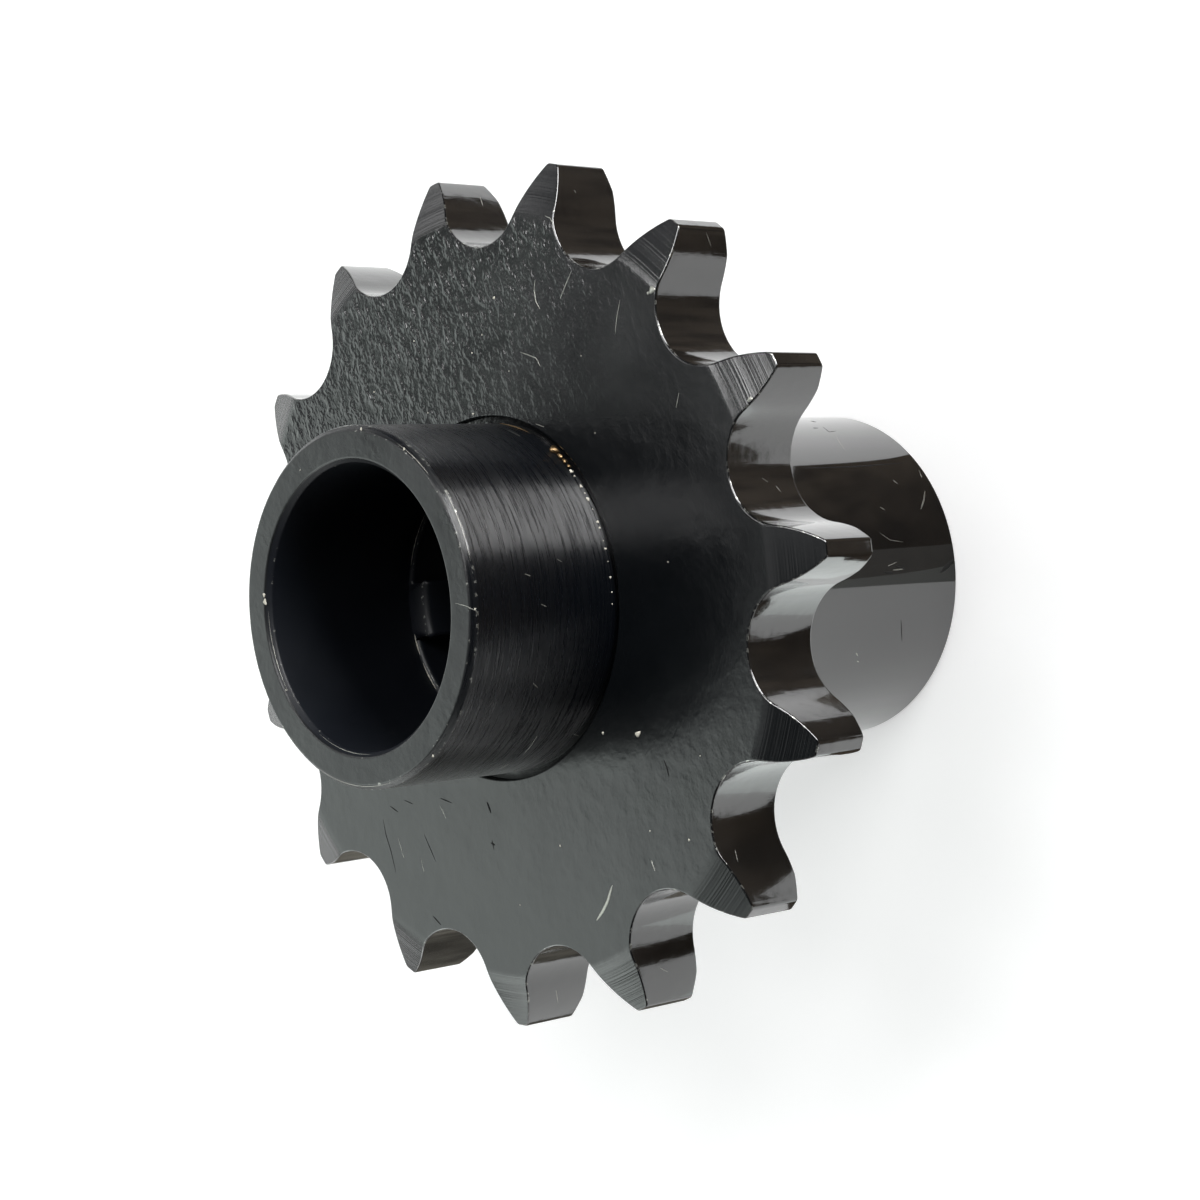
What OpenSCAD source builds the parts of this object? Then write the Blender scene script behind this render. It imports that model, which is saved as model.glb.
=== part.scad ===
// Front sprocket for a single roller chain: one turned steel piece with a toothed plate,
// a short boss on its front, a long hub on its back and a stepped bore with a straight spline.
// The part stands on the end of its rear hub: z = 0 there, +Z runs along the axis to the boss.

/* [Chain] */
// distance between chain rollers in mm
chain_pitch = 12.7; // [12.4:0.1:13.0]
// diameter of a chain roller in mm
roller_d = 8.51; // [8.3:0.01:8.7]
// number of teeth
teeth = 15; // [14:1:17]

/* [Teeth] */
// how far the teeth reach past the pitch circle in mm
tooth_reach = 1.96; // [1.6:0.02:2.2]
// half of the angle that the roller seat wraps in degrees
seat_half_angle = 65; // [64:0.5:66]
// radius of the rounded tooth flank in mm
flank_r = 10; // [9.5:0.1:11]

/* [Toothed plate] */
// plate thickness in mm
plate_t = 6.5; // [6:0.1:7.4]
// radial width of the turned bevel on the front of the teeth in mm
front_bevel_w = 3.8; // [2.5:0.1:4]
// axial height of the front bevel at the tooth tips in mm
front_bevel_h = 1.45; // [0.8:0.05:1.8]
// half of the width over which the flat front rolls into that bevel in mm
crease_half = 0.55; // [0.3:0.05:0.7]
// radial width of the bevel on the back of the teeth in mm
rear_bevel_w = 1.6; // [0.8:0.1:2.4]
// axial height of the back bevel at the tooth tips in mm
rear_bevel_h = 0.45; // [0.2:0.05:0.8]

/* [Front boss] */
// outside diameter of the front boss in mm
boss_d = 26.2; // [25:0.1:27]
// length of the boss in front of the plate in mm
boss_len = 13.2; // [10:0.1:16]
// bevel on the outer edge of the boss in mm
boss_bevel = 0.4; // [0.2:0.05:0.8]
// width of the ring-shaped gap in the plate round the boss in mm
gap_w = 0.55; // [0.52:0.01:0.8]
// depth of that gap in mm
gap_depth = 0.8; // [0.3:0.05:1.5]

/* [Rear hub] */
// outside diameter of the rear hub in mm
hub_d = 26.9; // [26:0.1:28]
// length of the hub behind the plate in mm
hub_len = 32; // [26:0.5:38]
// bevel on the outer edge of the hub's end in mm
hub_bevel = 0.3; // [0.2:0.05:1]
// cone-shaped corner where the hub meets the plate in mm
hub_corner = 0.8; // [0.3:0.1:1.5]

/* [Bore] */
// diameter of the smooth bore in the boss in mm
bore_d = 20.8; // [20.2:0.1:21]
// depth of the smooth bore from the boss face in mm
bore_depth = 13.6; // [11:0.1:18]
// radial width of the bevel at the bore's mouth in mm
mouth_bevel_w = 0.35; // [0.2:0.05:0.8]
// axial height of that bevel in mm
mouth_bevel_h = 0.45; // [0.3:0.05:1]

/* [Spline] */
// number of spline teeth in the deeper bore
spline_teeth = 6; // [4:1:8]
// diameter across the spline grooves in mm
spline_major_d = 20; // [19.4:0.1:20]
// diameter between the spline teeth in mm
spline_minor_d = 16.5; // [16:0.1:17]
// width of one spline tooth in mm
spline_tooth_w = 4.2; // [3.6:0.1:4.6]
// bevel on the front ends of the spline teeth in mm
spline_bevel = 0.4; // [0.2:0.05:0.6]

/* [Hidden] */
$fn = 96;
// circles that the chain and the roller seats set
pitch_r = chain_pitch / (2 * sin(180 / teeth));
root_r = pitch_r - roller_d / 2;
// the roller seat is half of the roller and a little room that grows with it
seat_share = 0.505;
seat_room = 0.069;
seat_r = seat_share * roller_d + seat_room * pow(roller_d, 1 / 3);
seat_x = root_r + seat_r;
tip_r = pitch_r + tooth_reach;
// where the front bevel starts, and how much it drops over each mm of radius
crease_r = tip_r - front_bevel_w;
bevel_slope = front_bevel_h / front_bevel_w;
// the flank's circle runs this far into the seat's, so that the two cross cleanly
flank_lap = 0.008;
flank_x = seat_x - (seat_r + flank_r - flank_lap) * cos(seat_half_angle);
flank_y = (seat_r + flank_r - flank_lap) * sin(seat_half_angle);
// heights of the plate's front face and of the whole part
plate_top = hub_len + plate_t;
total_len = plate_top + boss_len;
bore_floor = total_len - bore_depth;
// cutters run past the faces by this much
over = 1;
gap_r = boss_d / 2 + gap_w;
// a spline tooth points at the middle of a gap between two sprocket teeth
spline_turn = 180 / teeth;

// outline of the turned blank, as radius and height
module blank() {
  rotate_extrude()
    polygon([
      [0, 0],
      [hub_d / 2 - hub_bevel, 0],
      [hub_d / 2, hub_bevel],
      [hub_d / 2, hub_len - hub_corner],
      [hub_d / 2 + hub_corner, hub_len],
      [tip_r - rear_bevel_w, hub_len],
      [tip_r, hub_len + rear_bevel_h],
      [tip_r, plate_top - front_bevel_h],
      [crease_r + crease_half, plate_top - bevel_slope * crease_half],
      [crease_r, plate_top - bevel_slope * crease_half / 4],
      [crease_r - crease_half, plate_top],
      [gap_r, plate_top],
      [gap_r, plate_top - gap_depth],
      [boss_d / 2, plate_top - gap_depth],
      [boss_d / 2, total_len - boss_bevel],
      [boss_d / 2 - boss_bevel, total_len],
      [0, total_len]
    ]);
}

// one gap between two teeth, on the +X side: a roller seat that opens between two rounded flanks
module tooth_gap() {
  // the seat's piece and the flanks' piece overlap by this much
  lap = 0.08;
  h = plate_t + 2 * over;
  reach = 2 * seat_r;
  out_x = tip_r + over;
  out_y = out_x * tan(180 / teeth);
  translate([0, 0, hub_len - over])
    difference() {
      union() {
        intersection() {
          translate([seat_x, 0, 0]) cylinder(r = seat_r, h = h);
          linear_extrude(height = h)
            polygon([
              [seat_x, 0],
              [seat_x - reach * cos(seat_half_angle), reach * sin(seat_half_angle)],
              [seat_x - reach, reach * sin(seat_half_angle)],
              [seat_x - reach, -reach * sin(seat_half_angle)],
              [seat_x - reach * cos(seat_half_angle), -reach * sin(seat_half_angle)]
            ]);
        }
        linear_extrude(height = h)
          polygon([
            [seat_x - lap, 0],
            [flank_x - lap, flank_y],
            [out_x, out_y],
            [out_x, -out_y],
            [flank_x - lap, -flank_y]
          ]);
      }
      for (side = [-1, 1])
        translate([flank_x, side * flank_y, -over]) cylinder(r = flank_r, h = h + 2 * over);
    }
}

// smooth bore with a bevelled mouth, then the splined bore down to the hub's end
module bore_cut() {
  translate([0, 0, bore_floor]) cylinder(d = bore_d, h = bore_depth + over);
  translate([0, 0, total_len - mouth_bevel_h])
    cylinder(
      r1 = bore_d / 2,
      r2 = bore_d / 2 + mouth_bevel_w * (mouth_bevel_h + over) / mouth_bevel_h,
      h = mouth_bevel_h + over
    );
  translate([0, 0, -over]) cylinder(d = spline_minor_d, h = bore_floor + 2 * over);
  difference() {
    translate([0, 0, -over]) cylinder(d = spline_major_d, h = bore_floor + 2 * over);
    for (k = [0 : spline_teeth - 1])
      rotate([0, 0, spline_turn + k * 360 / spline_teeth])
        translate([0, -spline_tooth_w / 2, -2 * over])
          cube([spline_major_d, spline_tooth_w, bore_floor + 5 * over]);
  }
  // bevels on both ends of the spline teeth
  translate([0, 0, bore_floor - spline_bevel])
    cylinder(r1 = spline_minor_d / 2, r2 = spline_minor_d / 2 + 2 * spline_bevel, h = 2 * spline_bevel);
  translate([0, 0, -over])
    cylinder(
      r1 = spline_major_d / 2 + spline_bevel + over,
      r2 = spline_minor_d / 2,
      h = spline_major_d / 2 + spline_bevel + over - spline_minor_d / 2
    );
}

module sprocket() {
  color([0.06, 0.065, 0.07])
    difference() {
      blank();
      for (k = [0 : teeth - 1]) rotate([0, 0, (k + 0.5) * 360 / teeth]) tooth_gap();
      bore_cut();
    }
}

sprocket();
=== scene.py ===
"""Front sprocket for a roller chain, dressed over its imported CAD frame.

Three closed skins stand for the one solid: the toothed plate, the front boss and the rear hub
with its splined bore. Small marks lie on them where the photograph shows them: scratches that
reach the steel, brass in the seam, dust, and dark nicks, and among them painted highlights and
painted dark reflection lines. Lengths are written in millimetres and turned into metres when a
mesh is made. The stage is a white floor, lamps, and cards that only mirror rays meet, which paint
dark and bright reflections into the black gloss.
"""

import bpy
import numpy as np
from mathutils import Matrix, Vector


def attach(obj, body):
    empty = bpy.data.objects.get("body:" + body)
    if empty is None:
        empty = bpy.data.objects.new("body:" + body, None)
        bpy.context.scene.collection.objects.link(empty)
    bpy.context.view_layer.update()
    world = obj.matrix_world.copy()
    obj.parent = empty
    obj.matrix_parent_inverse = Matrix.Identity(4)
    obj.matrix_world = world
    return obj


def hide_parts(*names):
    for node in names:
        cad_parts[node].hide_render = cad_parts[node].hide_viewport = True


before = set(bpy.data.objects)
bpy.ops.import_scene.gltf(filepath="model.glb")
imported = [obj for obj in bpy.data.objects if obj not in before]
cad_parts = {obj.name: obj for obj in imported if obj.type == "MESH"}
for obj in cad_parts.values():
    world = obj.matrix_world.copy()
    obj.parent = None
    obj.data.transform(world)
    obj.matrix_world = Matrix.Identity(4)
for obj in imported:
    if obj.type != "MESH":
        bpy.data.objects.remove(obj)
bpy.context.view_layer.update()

MM = 0.001

# the chain and the teeth; the skin stays a hair inside the part's box
chain_pitch = 12.7
roller_d = 8.51
teeth = 15
tooth_reach = 1.96
skin_inset = 0.006
seat_share = 0.505
seat_room = 0.069
seat_half_angle = np.radians(65)
flank_r = 10.0
tooth_angle = 2 * np.pi / teeth
pitch_r = chain_pitch / (2 * np.sin(np.pi / teeth))
tip_r = pitch_r + tooth_reach - skin_inset
seat_r = seat_share * roller_d + seat_room * roller_d ** (1 / 3)
seat_x = pitch_r - roller_d / 2 + seat_r

# heights along the axis, from the rear hub's end
hub_len = 32.0
plate_t = 6.5
boss_len = 13.2
bore_depth = 13.6
gap_depth = 0.8
end_inset = 0.025
plate_top = hub_len + plate_t
total_len = plate_top + boss_len - end_inset
bore_floor = plate_top + boss_len - bore_depth
gap_floor = plate_top - gap_depth

# turned radii, and the spline
boss_r = 13.1
gap_w = 0.55
gap_r = boss_r + gap_w
bore_r = 10.4
hub_r = 13.45
hub_corner = 0.8
spline_major_r = 10.0
spline_minor_r = 8.25
spline_tooth_w = 4.2
spline_teeth = 6
spline_bevel = 0.4

# bevels and softened edges
front_bevel_w = 3.8
front_bevel_h = 1.45
bevel_slope = front_bevel_h / front_bevel_w
crease_r = tip_r - front_bevel_w
crease_half = 0.55
rear_bevel_w = 1.6
rear_bevel_h = 0.45
boss_bevel = 0.4
hub_bevel = 0.3
mouth_bevel_w = 0.35
mouth_bevel_h = 0.45
coat_round = 0.13
edge_round = 0.1

# the photograph's camera: where it stands, the point it looks at, its roll and its lens
camera_place = np.array([-146.73, -22.78, 167.25])
camera_aim = np.array([-11.68, -1.18, 38.5])
camera_roll = np.radians(94.1)
lens_px = 2618.0
picture_px = 1200.0


def unit(v):
    """Vectors along the last axis, each made one long."""
    return v / np.linalg.norm(v, axis=-1, keepdims=True)


ahead = unit(camera_aim - camera_place)
level_right = unit(np.cross(ahead, [0, 0, 1]))
camera_up = np.cross(level_right, ahead) * np.cos(camera_roll) + level_right * np.sin(camera_roll)
camera_right = np.cross(ahead, camera_up)


def front_height(r):
    """Height of the plate's front at radius r: flat inside, a parabola over the rolled crease,
    then a straight cone down towards the tips."""
    past = r - crease_r + crease_half
    rolled = bevel_slope * np.clip(past, 0, 2 * crease_half) ** 2 / (4 * crease_half)
    return plate_top - rolled - bevel_slope * np.maximum(past - 2 * crease_half, 0)


def back_height(r):
    """Height of the plate's back at radius r: flat, then a small cone up towards the tips."""
    return hub_len + rear_bevel_h * np.clip((r - tip_r + rear_bevel_w) / rear_bevel_w, 0, 1)


def new_piece(name, points, quads, materials, face_material):
    """A smooth mesh from points in millimetres and an array of quads, turned so that its volume
    is positive. A quad that repeats its last corner becomes a triangle."""
    a, b, c, d = (points[quads[:, k]] for k in range(4))
    volume = (a * (np.cross(b, c) + np.cross(c, d))).sum()
    if volume < 0:
        quads = quads[:, ::-1]
    repeated = quads == np.roll(quads, 1, axis=1)
    corners = np.where(repeated.any(axis=1), 3, 4)
    starts = np.concatenate([[0], np.cumsum(corners)[:-1]])
    loops = quads[~repeated]
    mesh = bpy.data.meshes.new(name)
    mesh.vertices.add(len(points))
    mesh.vertices.foreach_set("co", (points * MM).astype(np.float32).ravel())
    mesh.loops.add(len(loops))
    mesh.loops.foreach_set("vertex_index", loops.astype(np.int32))
    mesh.polygons.add(len(quads))
    mesh.polygons.foreach_set("loop_start", starts.astype(np.int32))
    mesh.update(calc_edges=True)
    for material in materials:
        mesh.materials.append(material)
    mesh.polygons.foreach_set("material_index", np.asarray(face_material, np.int32))
    mesh.polygons.foreach_set("use_smooth", np.ones(len(quads), bool))
    piece = bpy.data.objects.new(name, mesh)
    bpy.context.scene.collection.objects.link(piece)
    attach(piece, "root")
    return piece


def closed_skin(name, grid, materials, row_material, marks):
    """A skin over a grid of points that closes on itself both along the rows and round the axis.

    grid holds rows x columns x 3 lengths. row_material gives the material of the strip that
    follows each row. marks are values on the points, such as wear, one for each row or point."""
    rows, cols = grid.shape[:2]
    here = np.arange(rows)[:, None] * cols + np.arange(cols)[None, :]
    beside = np.roll(here, -1, axis=1)
    quads = np.stack([here, beside, np.roll(beside, -1, axis=0), np.roll(here, -1, axis=0)], -1)
    quads = quads.reshape(-1, 4)
    piece = new_piece(name, grid.reshape(-1, 3), quads, materials, np.repeat(row_material, cols))
    for mark, values in marks.items():
        layer = piece.data.attributes.new(mark, "FLOAT", "POINT")
        layer.data.foreach_set("value", np.broadcast_to(values, (rows, cols)).astype(np.float32).ravel())
    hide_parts("sprocket")
    return piece


def capped_grids(name, grid, first, last, material):
    """Many small closed forms in one mesh: each is a tube of rows x columns points that is closed
    at its two ends by a fan round one point."""
    items, rows, cols = grid.shape[:3]
    count = rows * cols + 2
    points = np.concatenate([grid.reshape(items, -1, 3), first[:, None], last[:, None]], axis=1)
    here = np.arange(rows)[:, None] * cols + np.arange(cols)[None, :]
    beside = np.roll(here, -1, axis=1)
    sides = np.stack([here[:-1], beside[:-1], beside[1:], here[1:]], -1).reshape(-1, 4)
    start = np.full(cols, rows * cols)
    end = start + 1
    ends = np.concatenate([np.stack([start, start, beside[0], here[0]], -1),
                           np.stack([end, end, here[-1], beside[-1]], -1)])
    quads = np.concatenate([sides, ends])
    quads = (quads[None] + np.arange(items)[:, None, None] * count).reshape(-1, 4)
    return new_piece(name, points.reshape(-1, 3), quads, [material], np.zeros(len(quads)))


def turned_profile(corners, radius, spacing):
    """A closed turned section: each corner (r, z) is rounded by a quadratic curve, and each straight
    run between two corners is cut into equal steps of about its spacing. Returns the points and,
    for each point, the number of the corner that it belongs to, or of the run that follows it,
    plus one half."""
    corners = np.asarray(corners, float)
    edge_row, most_share = 0.04, 0.2
    back = unit(np.roll(corners, 1, axis=0) - corners) * radius
    onward = unit(np.roll(corners, -1, axis=0) - corners) * radius
    s = np.linspace(0, 1, 5)[:, None]
    points, owner = [], []
    for k, corner in enumerate(corners):
        arc = (1 - s) ** 2 * (corner + back[k]) + 2 * s * (1 - s) * corner + s ** 2 * (corner + onward[k])
        following = corners[(k + 1) % len(corners)] + back[(k + 1) % len(corners)]
        run = following - arc[-1]
        length = np.hypot(*run)
        # a close row beside each rounded corner keeps the straight runs straight in the shading
        near = min(edge_row / length, most_share)
        steps = int(np.ceil(length / spacing[k]))
        q = np.unique(np.concatenate([[near, 1 - near], np.linspace(0, 1, steps + 1)[1:-1]]))
        points += [arc, arc[-1] + q[:, None] * run]
        owner += [np.full(len(arc), float(k)), np.full(len(q), k + 0.5)]
    return np.concatenate(points), np.concatenate(owner)


def gap_outline():
    """The outline of the teeth in the plate's plane, as one closed curve.

    Half a gap is a roller seat arc, a rounded flank arc, a small soft corner and half of the
    land at the tip. Its mirror image makes the other half, and 15 turns of it make the plate."""
    soft_corner = 0.22
    seat = np.linspace(0, seat_half_angle, 15)
    seat = np.stack([seat_x - seat_r * np.cos(seat), seat_r * np.sin(seat)], -1)
    centre = np.array([seat_x - (seat_r + flank_r) * np.cos(seat_half_angle),
                       (seat_r + flank_r) * np.sin(seat_half_angle)])
    # the flank ends where its circle meets the tip circle
    reach = np.hypot(*centre)
    apart = np.arccos((reach ** 2 + tip_r ** 2 - flank_r ** 2) / (2 * reach * tip_r))
    meet = np.arctan2(centre[1], centre[0]) - apart
    corner = tip_r * np.array([np.cos(meet), np.sin(meet)])
    end = np.arctan2(corner[1] - centre[1], corner[0] - centre[0]) - soft_corner / flank_r
    flank = np.linspace(-seat_half_angle, end, 14)[1:]
    flank = centre + flank_r * np.stack([np.cos(flank), np.sin(flank)], -1)
    land = np.linspace(meet + soft_corner / tip_r, tooth_angle / 2, 4)
    land = tip_r * np.stack([np.cos(land), np.sin(land)], -1)
    s = np.linspace(0, 1, 5)[1:-1, None]
    soft = (1 - s) ** 2 * flank[-1] + 2 * s * (1 - s) * corner + s ** 2 * land[0]
    half = np.concatenate([seat, flank, soft, land])
    return repeated_round(half, teeth, tooth_angle / 2)


def repeated_round(half, count, start):
    """A closed curve from half of one repeat, which is mirrored about its first point's radius and
    then turned round the axis, count times, from the start angle."""
    whole = np.concatenate([half[:0:-1] * [1, -1], half[:-1]])
    turns = start + np.arange(count) * 2 * np.pi / count
    c, s = np.cos(turns)[:, None], np.sin(turns)[:, None]
    x, y = whole[:, 0], whole[:, 1]
    return np.stack([c * x - s * y, s * x + c * y], -1).reshape(-1, 2)


def toothed_plate(face, flank):
    """The plate: rows run from a hidden inner wall over the gap's floor and wall, the front face,
    the turned bevel, the rounded edge, the tooth flanks and the same again on the back. A row
    lies at a share of the way between two curves round the axis. A row close beside an edge keeps
    the shading of the straight stretch before it from bending."""
    # radius of the inner wall, inside the boss and the hub, and of the place where the back ends
    hidden_r, back_end_r = 11.5, 12.2
    # above this height a point belongs to the front
    mid_height = hub_len + 3.0
    # the least room in mm between the rows of the crease and the rounded edge of the teeth
    crease_room, cone_room = 0.06, 0.03
    outline = gap_outline()
    along = np.roll(outline, -1, axis=0) - np.roll(outline, 1, axis=0)
    out = unit(np.stack([along[:, 1], -along[:, 0]], -1))
    direction = unit(outline)
    inner = outline - out * coat_round
    inner_r = np.linalg.norm(inner, axis=1)
    inner_direction = unit(inner)
    rows, kinds, edge = [], [], []

    def ring(toward, r, z, kind=0, wear=0.0):
        """one row: directions round the axis times a radius, at a height"""
        r, z = (np.broadcast_to(v, len(outline))[:, None] for v in (r, z))
        rows.append(np.concatenate([toward * r, z], axis=1))
        kinds.append(kind)
        edge.append(wear)

    def rounded(s, z, wear):
        """a quarter of a round edge: s runs from 0 on the face to a right angle on the flank"""
        rows.append(np.column_stack([outline - out * coat_round * (1 - np.sin(s)), z]))
        kinds.append(1)
        edge.append(wear)

    # the hidden wall, then the floor, wall and lip of the gap round the boss
    for z in (33.5, 35.0, 37.0):
        ring(direction, hidden_r, z)
    for r in (hidden_r + 0.1, 13.0, gap_r - 0.03):
        ring(direction, r, gap_floor)
    for z in np.linspace(gap_floor + 0.03, plate_top - edge_round - 0.02, 5):
        ring(direction, gap_r, z)
    for s in np.linspace(0, np.pi / 2, 4):
        in_by, down_by = edge_round * (1 - np.cos(s)), edge_round * (1 - np.sin(s))
        ring(direction, gap_r + in_by, plate_top - down_by, 0, 0.8)
    # the flat front, the rolled crease and the cone of the turned bevel
    start = gap_r + edge_round + 0.04
    crease = np.minimum(crease_r - crease_half, inner_r - crease_room)
    past_crease = np.minimum(crease + 2 * crease_half, inner_r - cone_room)
    for q in np.concatenate([[0.0], np.linspace(0.03, 0.985, 13), [1.0]]):
        r = start + (crease - start) * q
        ring(inner_direction, r, front_height(r))
    for q in np.linspace(0.0, 1.0, 9)[1:]:
        r = crease + (past_crease - crease) * q
        ring(inner_direction, r, front_height(r))
    for q in (0.02, 0.2, 0.4, 0.6, 0.8, 0.96, 1.0):
        r = past_crease + (inner_r - past_crease) * q
        ring(inner_direction, r, front_height(r), 0, 0.5 * (q == 1.0))
    # the rounded edge, the flank and the rounded edge of the back
    top = front_height(inner_r)
    for s in np.linspace(0, np.pi / 2, 6)[1:]:
        rounded(s, top - coat_round * (1 - np.cos(s)), 1.0)
    bottom = back_height(inner_r)
    for q in np.concatenate([[0.01], np.linspace(0.04, 0.96, 10), [0.99]]):
        ring(outline, 1.0, (top - coat_round) * (1 - q) + (bottom + coat_round) * q, 1)
    for s in np.linspace(np.pi / 2, 0, 5)[:-1]:
        rounded(s, bottom + coat_round * (1 - np.cos(s)), 1.0)
    # the back's bevel and its flat
    back_crease = np.minimum(tip_r - rear_bevel_w, inner_r - crease_room)
    for q in np.linspace(0, 1, 6):
        r = inner_r + (back_crease - inner_r) * q
        ring(inner_direction, r, back_height(r))
    for q in np.linspace(0, 1, 13)[1:]:
        r = back_crease + (back_end_r - back_crease) * q
        ring(inner_direction, r, back_height(r))
    ring(direction, hidden_r, hub_len + 0.4)
    grid = np.array(rows)
    radius = np.linalg.norm(grid[..., :2], axis=-1)
    front = grid[..., 2] > mid_height
    # 0 on the rolled face and 1 on the turned bevel, with the change over most of the crease
    turned = np.clip((radius - crease_r + crease_half) / (1.2 * crease_half), 0, 1) * front
    marks = {"edge": np.array(edge)[:, None], "turned": turned, "radius": radius}
    return closed_skin("toothed_plate", grid, [face, flank], kinds, marks)


def front_boss(wall, end, bore, columns=480):
    """The front boss: a turned tube whose section runs up its outside, over the ring-shaped end
    and down the smooth bore, and is carried round the axis. Its foot is hidden in the plate."""
    foot, bore_foot = 36.5, 37.2
    corners = [(boss_r, foot), (boss_r, total_len - boss_bevel), (boss_r - boss_bevel, total_len),
               (bore_r + mouth_bevel_w, total_len), (bore_r, total_len - mouth_bevel_h),
               (bore_r, bore_foot)]
    section, owner = turned_profile(corners, edge_round, (0.5, 0.2, 0.3, 0.3, 0.5, 0.6))
    material = np.select([owner < 2, owner < 3.2], [0, 1], 2)
    edge = np.select([owner == 1, owner == 2, owner == 3, owner == 4], [1.0, 1.0, 0.9, 0.8], 0.0)
    a = np.linspace(0, 2 * np.pi, columns, endpoint=False)
    grid = np.stack([section[:, :1] * np.cos(a), section[:, :1] * np.sin(a),
                     np.repeat(section[:, 1:], columns, axis=1)], -1)
    return closed_skin("front_boss", grid, [wall, end, bore], material, {"edge": edge[:, None]})


def rear_hub(wall, bore):
    """The rear hub with its splined bore: each row runs round at one place of the section. The
    bore's rows follow the spline's outline, the others are circles, and a hidden collar inside
    the plate carries the step that is seen at the bottom of the smooth bore. Here too, a row close
    beside an edge keeps the shading straight."""
    # the collar's section, as radius and height, from the step in the bore down to the corner
    collar = ((10.6, bore_floor), (11.2, bore_floor - 0.1), (12.4, bore_floor - 0.6), (12.6, 34),
              (13.0, 32.8), (hub_r + hub_corner, hub_len + 0.02))
    # the corner between plate and hub, a cone with a softened foot
    corner = ((0.6, 0.2), (0.4, 0.4), (0.15, 0.68), (0.03, 0.9))
    # half of the width of the rounding at the hub's end, and the radius about halfway up the bore's
    # lower bevel, a cone that narrows by as much as it rises
    end_round, bevel_r = 0.04, spline_minor_r + 1.0
    # lower and upper end of the bore's straight stretch, and upper and lower end of the outside's
    bore_from, bore_to = 2.3, bore_floor - 0.45
    outside_from, outside_to = hub_len - 1.1, hub_bevel + 0.2
    half_w = spline_tooth_w / 2
    # half a spline tooth: the land on the minor circle, the straight side, then the groove
    land_end = np.arcsin(half_w / spline_minor_r)
    side_end = np.arcsin(half_w / spline_major_r)
    land = np.linspace(0, land_end, 8)
    land = spline_minor_r * np.stack([np.cos(land), np.sin(land)], -1)
    side = np.linspace(spline_minor_r * np.cos(land_end), spline_major_r * np.cos(side_end), 6)[1:]
    side = np.stack([side, np.full(5, half_w)], -1)
    groove = np.linspace(side_end, np.pi / spline_teeth, 16)[1:]
    groove = spline_major_r * np.stack([np.cos(groove), np.sin(groove)], -1)
    outline = repeated_round(np.concatenate([land, side, groove]), spline_teeth, np.pi / teeth)
    outline_r = np.linalg.norm(outline, axis=1)
    count = len(outline)
    # the circles' angles run evenly, half a step off the outline's first point
    turn = np.pi / teeth - np.pi / spline_teeth + (np.arange(count) + 0.5) * 2 * np.pi / count
    direction = np.stack([np.cos(turn), np.sin(turn)], -1)
    rows, kinds, edge = [], [], []

    def circle(r, z, wear=0.0):
        """a level circle round the axis"""
        rows.append(np.column_stack([direction * r, np.full(count, z)]))
        kinds.append(0)
        edge.append(wear)

    def follow(least_r, z, wear=0.0):
        """the spline's outline, pushed out to at least the radius of the bevel's cone here"""
        r = np.maximum(outline_r, least_r)[:, None]
        rows.append(np.column_stack([outline / outline_r[:, None] * r, np.full(count, z)]))
        kinds.append(1)
        edge.append(wear)

    # the splined bore, upwards to the step
    for z in np.linspace(bore_from, bore_to, 13):
        follow(0, z)
    follow(spline_minor_r + spline_bevel, bore_floor, 0.9)
    for r, z in collar:
        circle(r, z)
    for r, z in corner:
        circle(hub_r + r, hub_len - z)
    # down the outside, over the end's bevel, and into the bore's lower bevel
    for z in np.linspace(outside_from, outside_to, 16):
        circle(hub_r, z)
    circle(hub_r, hub_bevel + 0.06)
    for s in np.linspace(0, 1, 4):
        circle(hub_r - end_round * s, hub_bevel + end_round - 2 * end_round * s, 1.0)
    circle(hub_r - hub_bevel + end_round, end_round, 0.5)
    circle(hub_r - hub_bevel - 0.02, 0.0, 1.0)
    circle(hub_r - hub_bevel - 0.2, 0.0)
    circle(11.0, 0.0)
    follow(spline_major_r + spline_bevel, 0.0, 1.0)
    follow(bevel_r, spline_major_r + spline_bevel - bevel_r)
    marks = {"edge": np.array(edge)[:, None]}
    return closed_skin("rear_hub", np.array(rows), [wall, bore], kinds, marks)


def linear(hex_colour):
    """An sRGB hex colour as linear light."""
    c = np.array([int(hex_colour[k:k + 2], 16) for k in (1, 3, 5)]) / 255
    return tuple(np.where(c <= 0.04045, c / 12.92, ((c + 0.055) / 1.055) ** 2.4)) + (1.0,)


def add(tree, kind, links=None, values=None, **settings):
    """Adds a node with its settings, its socket values and its links (socket: (node, output))."""
    node = tree.nodes.new("ShaderNode" + kind)
    for key, value in settings.items():
        setattr(node, key, value)
    for socket, value in (values or {}).items():
        node.inputs[socket].default_value = value
    for socket, (source, output) in (links or {}).items():
        tree.links.new(source.outputs[output], node.inputs[socket])
    return node


# noise from 0 to 1 stays mostly between these two levels
noise_low, noise_high = 0.3, 0.7


def new_material(name):
    """An empty material and its node tree."""
    material = bpy.data.materials.new(name)
    material.use_nodes = True
    material.node_tree.nodes.clear()
    return material, material.node_tree


def noise_at(tree, place, size, turn=0.0, detail=3.0, sharp=None):
    """Noise whose cells have a real size in mm along x, y and z, turned about the axis. sharp
    gives the two levels between which the noise rises from 0 to 1, so that it has flat parts."""
    at = add(tree, "Mapping", {"Vector": (place, "Object")},
             {"Scale": tuple(c * MM for c in size), "Rotation": (0, 0, turn)}, vector_type="TEXTURE")
    noise = add(tree, "TexNoise", {"Vector": (at, "Vector")},
                {"Scale": 1.0, "Detail": detail, "Roughness": 0.6})
    if not sharp:
        return noise, "Fac"
    step = add(tree, "MapRange", {"Value": (noise, "Fac")},
               {"From Min": sharp[0], "From Max": sharp[1]}, interpolation_type="SMOOTHSTEP")
    return step, "Result"


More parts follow.
